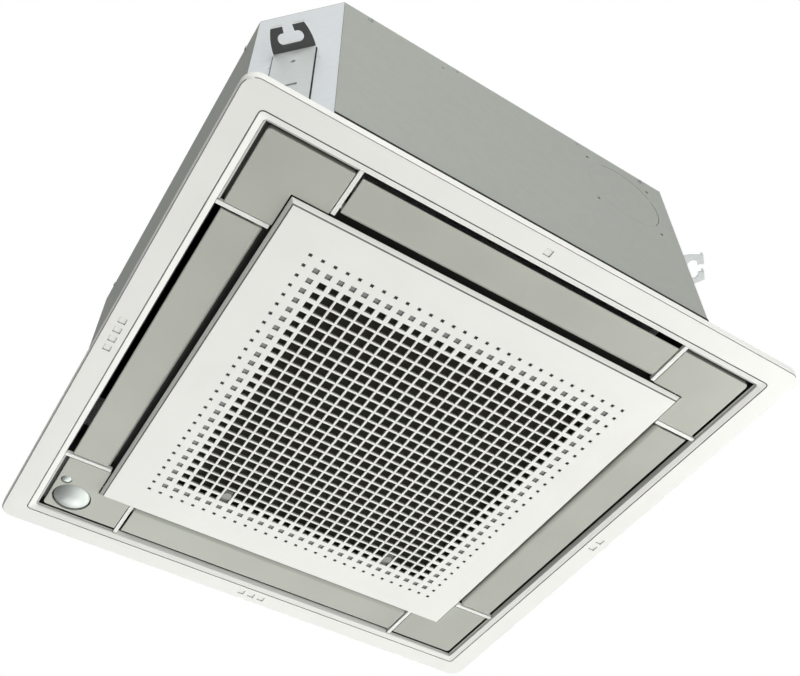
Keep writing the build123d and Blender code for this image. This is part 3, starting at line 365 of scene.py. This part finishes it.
def woven_net(settings):
    """Black resin net: a fine weave of round threads that hides what lies behind it in shade."""
    material, tree = new_material("polypropylene_net_woven")
    split = add(tree, "ShaderNodeSeparateXYZ", Vector=object_point(tree))
    thread = maths(tree, "MAXIMUM", *[sine(tree, split.outputs[axis], settings.thread_pitch) for axis in (0, 1)])
    relief = add(tree, "ShaderNodeBump", Height=thread, Strength=0.8, Distance=0.2 * MM)
    shader = add(tree, "ShaderNodeBsdfPrincipled", Roughness=0.7, IOR=1.49, Normal=relief.outputs[0],
                 # the weave traps most of what its threads reflect
                 Specular_IOR_Level=0.12,
                 Base_Color=blend(tree, thread, tinted(settings.net, 0.3), settings.net, -0.6, 1.0))
    finish(tree, shader)
    return material


def sensor_window(settings):
    """Polished, milky polyethylene domes, painted grey on their -X side and bright on their +X side: the shading
    of a dome lit from +X.
    """
    material, tree = new_material("polyethylene_lens_moulded")
    ripple = add(tree, "ShaderNodeTexNoise", Vector=object_point(tree), Scale=per_metre(7.0), Detail=1.0)
    facing = add(tree, "ShaderNodeSeparateXYZ", Vector=add(tree, "ShaderNodeTexCoord").outputs["Normal"])
    # painted light and shade: brighter where the surface leans to +X, darker where it leans to -X
    lean = maths(tree, "MULTIPLY_ADD", ripple.outputs[0], 0.1, facing.outputs[0])
    shader = add(tree, "ShaderNodeBsdfPrincipled", IOR=1.51, Coat_Weight=0.3,
                 Base_Color=blend(tree, lean, tinted(settings.sensor, 0.42), tinted(settings.sensor, 1.45),
                                  -0.5, 0.3),
                 Roughness=ranged(tree, ripple.outputs[0], 0.16, 0.24), Normal=softened(tree, 0.5))
    finish(tree, shader)
    return material


def circuit_laminate(settings):
    """Glass epoxy board: solder mask, a little darker and lighter where copper runs under it."""
    material, tree = new_material("glass_epoxy_printed")
    tracks = add(tree, "ShaderNodeTexBrick", Vector=object_point(tree), Scale=per_metre(40.0), Mortar_Size=0.01,
                 Color1=tinted(settings.board, 0.9), Color2=settings.board, Mortar=tinted(settings.board, 1.8))
    shader = add(tree, "ShaderNodeBsdfPrincipled", Base_Color=tracks.outputs[0], Roughness=0.35, IOR=1.55)
    finish(tree, shader)
    return material


def soft_hose(settings):
    """Clear soft vinyl tube, slightly yellow and hazy, in which the water would show."""
    material, tree = new_material("pvc_soft_extruded")
    haze = add(tree, "ShaderNodeTexNoise", Vector=object_point(tree), Scale=per_metre(12.0))
    shader = add(tree, "ShaderNodeBsdfPrincipled", IOR=1.53, Transmission_Weight=0.35,
                 Base_Color=shifted(tree, haze.outputs[0], settings.hose, 0.05),
                 Roughness=ranged(tree, haze.outputs[0], 0.25, 0.4))
    finish(tree, shader)
    return material


# ---------------------------------------------------------------- meshes
def dress(names, material):
    """Puts one material on CAD nodes."""
    for name in names:
        mesh = NODES[name].data
        mesh.materials.clear()
        mesh.materials.append(material)


def turned_rings(mesh, rings, sides):
    """Adds closed rings round the Z axis from (radius, height) pairs and skins them. Returns the rings."""
    loops = []
    for radius, height in rings:
        loops.append([mesh.verts.new((radius * math.cos(2 * math.pi * n / sides),
                                      radius * math.sin(2 * math.pi * n / sides), height))
                      for n in range(sides)])
    for low, high in zip(loops, loops[1:]):
        for n in range(sides):
            m = (n + 1) % sides
            mesh.faces.new((low[n], low[m], high[m], high[n]))
    return loops


def cross_recess(mesh, rim, wing, width, height, deep):
    """Closes a round head with a cross-shaped pocket. rim holds the head's top ring, in 4-fold order."""
    corners = []
    for quarter in range(4):
        a = math.pi / 2 * quarter
        for x, y in ((wing, -width), (wing, width), (width, width)):
            corners.append((x * math.cos(a) - y * math.sin(a), x * math.sin(a) + y * math.cos(a)))
    top = [mesh.verts.new((x, y, height)) for x, y in corners]
    low = [mesh.verts.new((x * 0.8, y * 0.8, height - deep)) for x, y in corners]
    count = len(corners)
    for n in range(count):
        m = (n + 1) % count
        mesh.faces.new((top[m], top[n], low[n], low[m]))
    mesh.faces.new(low)
    edges = [mesh.edges.get((ring[n], ring[(n + 1) % len(ring)])) for ring in (rim, top) for n in range(len(ring))]
    bmesh.ops.bridge_loops(mesh, edges=edges)


def screw_mesh(mesh, place, head_r, head_high, shank_r, length, turns_mm):
    """Adds one pan head screw along its own +Z: the head is above z = 0 and the thread below."""
    made = bmesh.new()
    rings, z = [(0.0005 * MM, -length), (shank_r * 0.55, -length)], -length + turns_mm
    while z < -turns_mm:
        rings += [(shank_r, z), (shank_r * 0.8, z + turns_mm / 2)]
        z += turns_mm
    rings += [(shank_r * 0.8, 0.0), (head_r, 0.0), (head_r, head_high * 0.35), (head_r * 0.93, head_high * 0.72),
              (head_r * 0.75, head_high * 0.95), (head_r * 0.62, head_high)]
    loops = turned_rings(made, rings, 24)
    cross_recess(made, loops[-1], head_r * 0.5, head_r * 0.1, head_high, head_high * 0.6)
    bmesh.ops.recalc_face_normals(made, faces=made.faces)
    made.transform(place)
    part = bpy.data.meshes.new("screw")
    made.to_mesh(part)
    made.free()
    mesh.from_mesh(part)
    bpy.data.meshes.remove(part)


def screw_set(node, places, head_r, head_high, shank_r, pitch, material):
    """Replaces a CAD node of screws by screws with threads and recesses, at (place, length) pairs."""
    gathered = bmesh.new()
    for place, length in places:
        screw_mesh(gathered, place, head_r, head_high, shank_r, length, pitch)
    mesh = bpy.data.meshes.new(node + "_threaded")
    gathered.to_mesh(mesh)
    gathered.free()
    mesh.materials.append(material)
    piece = bpy.data.objects.new(node + "_threaded", mesh)
    bpy.context.scene.collection.objects.link(piece)
    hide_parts(node)
    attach(piece, "unit")


def boxes_piece(name, boxes, material):
    """One piece of plain boxes, each given by a placing matrix and its low and high corners in mm."""
    gathered = bmesh.new()
    for place, low, high in boxes:
        size = [(h - l) * MM for l, h in zip(low, high)]
        middle = [(h + l) / 2 * MM for l, h in zip(low, high)]
        made = bmesh.ops.create_cube(gathered, size=1.0)["verts"]
        bmesh.ops.scale(gathered, vec=size, verts=made)
        bmesh.ops.translate(gathered, vec=middle, verts=made)
        bmesh.ops.transform(gathered, matrix=place, verts=made)
    mesh = bpy.data.meshes.new(name)
    gathered.to_mesh(mesh)
    gathered.free()
    mesh.materials.append(material)
    piece = bpy.data.objects.new(name, mesh)
    bpy.context.scene.collection.objects.link(piece)
    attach(piece, "unit")


# ---------------------------------------------------------------- settings
def colour_setting(name, hex_colour, description):
    """A colour that the user can change, given in sRGB hex."""
    return bpy.props.FloatVectorProperty(name=name, description=description, subtype="COLOR", size=4,
                                         min=0.0, max=1.0, default=linear(hex_colour))


def size_setting(name, millimetres, description):
    """A size in millimetres that the user can change."""
    return bpy.props.FloatProperty(name=name, description=description, default=millimetres, min=0.01)


class CasingSettings(bpy.types.PropertyGroup):
    """Sheet metal and its screws."""
    sheet: colour_setting("Sheet", "#9FA39C", "Galvanised sides and lid")
    # painted light: the corner plates are the same sheet, drawn brighter for the light they catch
    corner: colour_setting("Corner plates", "#DDE2E4", "Brighter sheet of the cut corners")
    bracket: colour_setting("Hanger brackets", "#D3D8D6", "Zinc plated brackets")
    screw: colour_setting("Screws", "#8D8F8B", "Zinc plated screws, nut and shaft")
    # the height of the black strip that draws the dark line round the lower edge
    tape: size_setting("Tape height", 8.0, "Width of the black foam tape round the lower edge, in mm")
    spangle: size_setting("Spangle", 9.0, "Width of the zinc crystals, in mm")
    score_from: size_setting("Score start", 118.0, "Where the knock-out's uncut score starts, in degrees from +X")
    score_span: size_setting("Score span", 205.0, "How far round the uncut score runs, in degrees")
    screw_aside: size_setting("Seam screws aside", 188.0, "From the middle of a side to its two top screws, in mm")
    screw_pitch: size_setting("Thread pitch", 1.4, "Pitch of the sheet metal screws, in mm")


class InsideSettings(bpy.types.PropertyGroup):
    """What the casing holds."""
    liner: colour_setting("Liner foam", "#161616", "Black foam on the walls and the seals")
    pan: colour_setting("Drain pan", "#DDDFDD", "White moulded foam")
    rubber: colour_setting("Rubber", "#171717", "Plug, bushes and grommet")
    fins: colour_setting("Fins", "#C9CDCE", "Aluminium of the heat exchanger")
    fin_pitch: size_setting("Fin pitch", 2.4, "Drawn wider than the real 1.4 mm so that it shows")
    copper: colour_setting("Copper", "#BF7E56", "Tubes and pipes")
    brass: colour_setting("Brass", "#BE9E56", "Flare fittings")
    natural: colour_setting("Natural plastic", "#DCDCD6", "Pump, float, socket and sensor clip")
    hose: colour_setting("Hose", "#E0DFD2", "Soft drain hose")
    bell: colour_setting("Bell mouth", "#4E5151", "Grey inlet plate")
    motor: colour_setting("Motor", "#303032", "Resin-cased fan motor")
    fan: colour_setting("Fan", "#292A2D", "Turbo fan")
    box: colour_setting("Control box", "#B0B4B0", "Zinc plated tray and lid")
    board: colour_setting("Board", "#234F31", "Solder mask")
    block: colour_setting("Terminal block", "#DDDACD", "Cream polyamide")


class PanelSettings(bpy.types.PropertyGroup):
    """The decoration panel."""
    white: colour_setting("White", "#F1F1EC", "Frame and suction grille")
    silver: colour_setting("Silver", "#ACAEA5", "Flaps and corner covers")
    duct: colour_setting("Duct", "#191A16", "Black moulding behind the frame")
    motors: colour_setting("Flap motors", "#B4B8B5", "Tin plated motor cans")
    sensor: colour_setting("Sensors", "#C8CEC9", "Lens over the sensors")
    catch: colour_setting("Catches", "#8F918D", "Finger tongues of the grille's catches")
    net: colour_setting("Filter", "#3D3B31", "Air filter net and frame")
    # the seam line is painted shade in the step between the grille's face and its skirt
    seam: size_setting("Seam", 1.4, "Height of the dark seam between the grille's face and its skirt, in mm")
    # the height of the painted shade line round the rim
    outline: size_setting("Outline", 0.7, "Height of the fine line where the frame's rim turns away, in mm")
    thread_pitch: size_setting("Net pitch", 1.6, "Weave of the filter, in mm")
    grain: size_setting("Grain", 0.8, "Moulded grain of the white plastic, in mm")
    edge_radius: size_setting("Edge radius", 0.6, "How far edges look rounded, in mm")
    # how far the painted crevice shade reaches from a wall
    crevice: size_setting("Crevice depth", 2.5, "How far from a wall a crevice still looks dark, in mm")


class StudioSettings(bpy.types.PropertyGroup):
    """Lights, floor and camera."""
    floor_drop: bpy.props.FloatProperty(name="Floor drop", description="How far below the ceiling the floor lies",
                                        default=2.5, unit="LENGTH")
    side_power: bpy.props.FloatProperty(name="Side light", description="Power of the light on the right",
                                        default=44.0, unit="POWER")
    front_power: bpy.props.FloatProperty(name="Front light", description="Power of the light low in front",
                                         default=22.0, unit="POWER")
    back_power: bpy.props.FloatProperty(name="Back light", description="Power of the light low behind",
                                        default=20.0, unit="POWER")
    fill_power: bpy.props.FloatProperty(name="Fill light", description="Power of the light on the casing's front",
                                        default=38.0, unit="POWER")
    top_power: bpy.props.FloatProperty(name="Top light", description="Power of the light over the lid",
                                       default=30.0, unit="POWER")
    sky: bpy.props.FloatProperty(name="Sky", description="Strength of the even light from all round", default=0.06)
    lens: bpy.props.FloatProperty(name="Lens", description="Focal length on a 36 mm wide sensor", default=46.33)


# ---------------------------------------------------------------- operators
class CASSETTE_OT_casing(bpy.types.Operator):
    """Finishes the sheet casing, its corner plates, lid and brackets"""
    bl_idname = "cassette.casing"
    bl_label = "Casing"

    def execute(self, context):
        settings = context.scene.cassette_casing
        sheet = galvanised_sheet(settings)
        dress([f"side_plate_{side}" for side in SIDES], sheet)
        dress([f"corner_plate_{n}" for n in range(1, 5)], corner_lit_sheet(settings))
        dress(["top_plate"], sheet)
        # painted shadow: the first bracket's tab underside is drawn dark for the shadow that falls on it
        dress(["hanger_bracket_1"],
              sheet_metal("zinc_plated_steel_dull_tab", settings.bracket, 0.08, 0.45, 4.0, shadow_level=TAB_LEVEL))
        # the other three are the same zinc plate drawn darker than the first: painted light and shade between
        # copies of one finish
        dress([f"hanger_bracket_{n}" for n in (2, 3, 4)],
              sheet_metal("zinc_plated_steel_pressed", tinted(settings.bracket, 0.84), 0.08, 0.45, 4.0))
        return {"FINISHED"}


class CASSETTE_OT_tape(bpy.types.Operator):
    """Lays black strips round the casing's lower edge, for the dark line along it, and beside and behind the
    brackets as painted shade; and fills the knock-out's score
    """
    bl_idname = "cassette.tape"
    bl_label = "Black strips"

    def execute(self, context):
        settings = context.scene.cassette_casing
        black = foam("polyethylene_foam_tape", linear("#0E0E0D"), 1.0)
        low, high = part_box("side_plate_front")
        face, end, bottom = low[1] / MM, high[0] / MM, low[2] / MM
        boxes = []
        for quarter in range(4):
            side = Matrix.Rotation(math.pi / 2 * quarter, 4, "Z")
            # a black strip round the lower edge draws the dark line along it
            boxes.append((side, (-end, face - 0.8, bottom + 0.2), (end, face + 0.3, bottom + settings.tape)))
            corner = Matrix.Rotation(math.radians(225) + math.pi / 2 * quarter, 4, "Z")
            out = CORNER_DIAGONAL
            # black strips on each side of the bracket, then patches behind its slot and its hole: painted shade
            # for the dark line along the bracket's edges and the dark seen through its slot and hole
            for a, b in ((-23.2, -22.0), (22.0, 23.2)):
                boxes.append((corner, (out - 0.3, a, bottom + 18), (out + 1.2, b, 198)))
            boxes.append((corner, (out - 0.3, -8, 120.2), (out + 0.4, 8, 123.8)))
            boxes.append((corner, (out - 0.3, -2.4, 171.6), (out + 0.4, 2.4, 176.4)))
        boxes_piece("foam_tape", boxes, black)
        score = []
        x, z, r = KNOCKOUT
        steps = 48
        for n in range(steps):
            angle = math.radians(settings.score_from + settings.score_span * (n + 0.5) / steps)
            long = r * math.radians(settings.score_span) / steps * 0.51
            place = (Matrix.Translation((x * MM, face * MM, z * MM))
                     @ Matrix.Rotation(-angle, 4, "Y") @ Matrix.Translation((r * MM, 0, 0)))
            score.append((place, (-0.5, 0.06, -long), (0.5, 0.9, long)))
        boxes_piece("knockout_score", score, galvanised_sheet(settings))
        return {"FINISHED"}


class CASSETTE_OT_screws(bpy.types.Operator):
    """Gives the casing and panel screws their cross recesses and threads"""
    bl_idname = "cassette.screws"
    bl_label = "Screws"

    def execute(self, context):
        settings = context.scene.cassette_casing
        steel = plain_metal("zinc_plated_steel_screws", settings.screw, 0.35, 0.5)
        dress(["fan_nut", "motor_shaft"], steel)
        low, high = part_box("casing_screws")
        pitch, head_r, shank_r, head_high = settings.screw_pitch * MM, 3.2 * MM, 1.95 * MM, 1.5 * MM
        places = []
        face, top, aside = -high[0] + 2 * MM, high[2] - 4 * MM, settings.screw_aside * MM
        for quarter in range(4):
            turn = Matrix.Rotation(math.pi / 2 * quarter, 4, "Z")
            for x in (-aside, aside):
                place = turn @ Matrix.Translation((x, face, top)) @ Matrix.Rotation(math.pi / 2, 4, "X")
                places.append((place, 4 * MM))
        bell = BELL_SCREW_ASIDE * MM
        for x in (-bell, bell):
            for y in (-bell, bell):
                place = Matrix.Translation((x, y, low[2] + 2 * MM)) @ Matrix.Rotation(math.pi, 4, "X")
                places.append((place, 3 * pitch))
        screw_set("casing_screws", places, head_r, head_high, shank_r, pitch, steel)
        low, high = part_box("panel_screws")
        places = []
        for quarter in range(4):
            turn = Matrix.Rotation(math.pi / 2 * quarter, 4, "Z")
            spot = Matrix.Translation((high[0] - 4 * MM, PANEL_SCREW_ASIDE * MM, low[2] + 2 * MM))
            places.append((turn @ spot @ Matrix.Rotation(math.pi, 4, "X"), high[2] - low[2] - 2 * MM))
        screw_set("panel_screws", places, head_r, head_high, shank_r, pitch, steel)
        return {"FINISHED"}


class CASSETTE_OT_inside(bpy.types.Operator):
    """Finishes the coil, pan, fan, motor, pipes, drain parts and the control box"""
    bl_idname = "cassette.inside"
    bl_label = "Inside"

    def execute(self, context):
        settings = context.scene.cassette_inside
        dress(["casing_insulation", "panel_seal"], foam("polyethylene_foam_cut", settings.liner, 1.2))
        dress(["drain_pan"], foam("polystyrene_foam_moulded", settings.pan, 3.0, 0.7))
        dress(["drain_plug", "motor_bushes", "wiring_grommet"],
              moulded_plastic("epdm_rubber_moulded", settings.rubber, 0.8, 1.0, 0.02, 0.1))
        dress(["heat_exchanger"], fin_pack(settings))
        dress(["return_bends", "gas_pipe", "liquid_pipe"],
              plain_metal("copper_tube_drawn", settings.copper, 0.3, 4.0, (0.1, 1.0, 1.0)))
        dress(["gas_union", "liquid_union"], plain_metal("brass_turned", settings.brass, 0.28, 0.6))
        dress(["drain_socket", "drain_pump", "float_switch", "switch_float", "air_thermistor"],
              moulded_plastic("abs_natural_moulded", settings.natural, 0.42))
        dress(["drain_hose"], soft_hose(settings))
        dress(["bell_mouth"], moulded_plastic("polystyrene_grey_moulded", settings.bell, 0.5, 1.0, 0.02, 0.06))
        dress(["fan_motor"], moulded_plastic("polyester_resin_moulded", settings.motor, 0.6, 1.5, 0.03, 0.08))
        dress(["turbo_fan"], moulded_plastic("polypropylene_fan_moulded", settings.fan, 0.45, 1.0, 0.01, 0.08))
        dress(["control_box", "control_box_lid"], zinc_plate(settings.box, "zinc_plated_steel_box"))
        dress(["circuit_board"], circuit_laminate(settings))
        dress(["terminal_block"], moulded_plastic("polyamide_cream_moulded", settings.block, 0.5))
        return {"FINISHED"}


class CASSETTE_OT_panel(bpy.types.Operator):
    """Finishes the white frame, the dark duct behind it, the flaps, the corner covers and their motors"""
    bl_idname = "cassette.panel"
    bl_label = "Panel"

    def execute(self, context):
        settings = context.scene.cassette_panel
        dress(["panel_frame"], white_frame_plastic(settings))
        dress(["panel_duct"], moulded_plastic("polystyrene_black_moulded", settings.duct, 0.7, 1.2, 0.02, 0.2))
        silver = silver_lacquered_plastic(settings)
        dress([f"flap_{side}" for side in SIDES], silver)
        dress(COVERS, silver)
        dress(["flap_motors"], zinc_plate(settings.motors, "tin_plated_steel_drawn"))
        dress(["presence_sensor", "floor_sensor"], sensor_window(settings))
        return {"FINISHED"}


class CASSETTE_OT_grille(bpy.types.Operator):
    """Finishes the perforated grille, the filter behind it and the two catches"""
    bl_idname = "cassette.grille"
    bl_label = "Suction grille"

    def execute(self, context):
        settings = context.scene.cassette_panel
        dress(["suction_grille"], white_grille_plastic(settings))
        dress(["air_filter"], woven_net(settings))
        dress(["grille_latch_left", "grille_latch_right"],
              moulded_plastic("pom_grey_moulded", settings.catch, 0.4))
        return {"FINISHED"}


class CASSETTE_OT_studio(bpy.types.Operator):
    """Sets the floor, the lights, the background and the camera"""
    bl_idname = "cassette.studio"
    bl_label = "Studio"

    def execute(self, context):
        settings = context.scene.cassette_studio
        add_floor(settings.floor_drop)
        add_light("side", (2.2, 0.0, -1.0), 1.6, settings.side_power)
        add_light("front", (0.2, -1.9, -1.4), 1.6, settings.front_power)
        add_light("back", (0.2, 2.0, -1.4), 1.6, settings.back_power)
        add_light("fill", (-0.9, -2.4, 0.6), 1.6, settings.fill_power)
        add_light("top", (0.5, 0.4, 2.6), 1.6, settings.top_power)
        add_world(settings.sky)
        add_camera(settings.lens)
        context.scene.view_settings.view_transform = "Standard"
        return {"FINISHED"}


def seen_as_white(tree):
    """1 for rays from the camera, a mirror or glass, which show the white background."""
    path = add(tree, "ShaderNodeLightPath")
    seen = maths(tree, "MAXIMUM", path.outputs["Is Camera Ray"], path.outputs["Is Glossy Ray"])
    return maths(tree, "MAXIMUM", seen, path.outputs["Is Transmission Ray"])


def add_floor(drop):
    """A plain pale floor under the unit."""
    material, tree = new_material("studio_floor_paper")
    paper = add(tree, "ShaderNodeTexNoise", Vector=object_point(tree), Scale=per_metre(400.0))
    lit = add(tree, "ShaderNodeBsdfPrincipled", Roughness=0.9,
              Base_Color=shifted(tree, paper.outputs[0], linear("#E8E8E6"), 0.01))
    pale = add(tree, "ShaderNodeEmission", Color=linear("#F4F4F2"), Strength=1.0)
    # the camera sees mostly the pale paper, and enough of its own shading to keep the unit's shadow
    seen = maths(tree, "MULTIPLY", seen_as_white(tree), 0.8)
    finish(tree, add(tree, "ShaderNodeMixShader", Fac=seen, Shader=lit.outputs[0], Shader_001=pale.outputs[0]))
    mesh = bpy.data.meshes.new("floor")
    reach = 8.0
    mesh.from_pydata([(x * reach, y * reach, -drop) for x, y in ((-1, -1), (1, -1), (1, 1), (-1, 1))], [],
                     [(0, 1, 2, 3)])
    mesh.materials.append(material)
    floor = bpy.data.objects.new("floor", mesh)
    bpy.context.scene.collection.objects.link(floor)


def add_light(name, place, size, power):
    """A square area light that faces the unit."""
    light = bpy.data.lights.new(name, "AREA")
    light.size, light.energy = size, power
    lamp = bpy.data.objects.new(name, light)
    bpy.context.scene.collection.objects.link(lamp)
    lamp.location = place
    lamp.rotation_euler = (Vector((0.0, 0.0, 0.05)) - Vector(place)).to_track_quat("-Z", "Y").to_euler()
    lamp.visible_camera = False


def add_world(strength):
    """White where it is seen, and an even soft light elsewhere."""
    world = bpy.data.worlds.new("studio")
    world.use_nodes = True
    bpy.context.scene.world = world
    tree = world.node_tree
    tree.nodes.clear()
    soft = add(tree, "ShaderNodeBackground", Color=linear("#FFFFFF"), Strength=strength)
    seen = add(tree, "ShaderNodeBackground", Color=linear("#FFFFFF"), Strength=1.0)
    mixed = add(tree, "ShaderNodeMixShader", Fac=seen_as_white(tree), Shader=soft.outputs[0],
                Shader_001=seen.outputs[0])
    add(tree, "ShaderNodeOutputWorld", Surface=mixed.outputs[0])


def add_camera(lens):
    """The photograph's view: from below, in front and to the left, looking up."""
    data = bpy.data.cameras.new("camera")
    data.sensor_width = 36.0
    data.lens = lens
    data.shift_x, data.shift_y = 0.00595, 0.0174
    camera = bpy.data.objects.new("camera", data)
    bpy.context.scene.collection.objects.link(camera)
    forward = Vector((0.34051, 0.54432, 0.76666)).normalized()
    right = Vector((0.84833, -0.52947, -0.00087)).normalized()
    up = right.cross(forward).normalized()
    turn = Matrix((right, up, -forward)).transposed()
    camera.matrix_world = Matrix.Translation((-0.39801, -0.67148, -0.77980)) @ turn.to_4x4()
    data.clip_start = 0.01
    bpy.context.scene.camera = camera


# ---------------------------------------------------------------- panel in the sidebar, and registration
class CASSETTE_PT_sidebar(bpy.types.Panel):
    """Lists the steps that dress the cassette"""
    bl_idname = "CASSETTE_PT_sidebar"
    bl_label = "Ceiling cassette"
    bl_space_type = "VIEW_3D"
    bl_region_type = "UI"
    bl_category = "Cassette"

    def draw(self, context):
        for step in STEPS:
            self.layout.operator(step.bl_idname)
        for name, group in GROUPS.items():
            box = self.layout.box()
            box.label(text=group.__doc__)
            for field in group.__annotations__:
                box.prop(getattr(context.scene, name), field)


GROUPS = {"cassette_casing": CasingSettings, "cassette_inside": InsideSettings, "cassette_panel": PanelSettings,
          "cassette_studio": StudioSettings}
STEPS = (CASSETTE_OT_casing, CASSETTE_OT_tape, CASSETTE_OT_screws, CASSETTE_OT_inside, CASSETTE_OT_panel,
         CASSETTE_OT_grille, CASSETTE_OT_studio)


def register():
    for group in GROUPS.values():
        bpy.utils.register_class(group)
    for name, group in GROUPS.items():
        setattr(bpy.types.Scene, name, bpy.props.PointerProperty(type=group))
    for step in STEPS + (CASSETTE_PT_sidebar,):
        bpy.utils.register_class(step)


def unregister():
    for step in reversed(STEPS + (CASSETTE_PT_sidebar,)):
        bpy.utils.unregister_class(step)
    for name, group in GROUPS.items():
        delattr(bpy.types.Scene, name)
        bpy.utils.unregister_class(group)


def main():
    register()
    bpy.ops.cassette.casing()
    bpy.ops.cassette.tape()
    bpy.ops.cassette.screws()
    bpy.ops.cassette.inside()
    bpy.ops.cassette.panel()
    bpy.ops.cassette.grille()
    bpy.ops.cassette.studio()


if __name__ == "__main__":
    main()
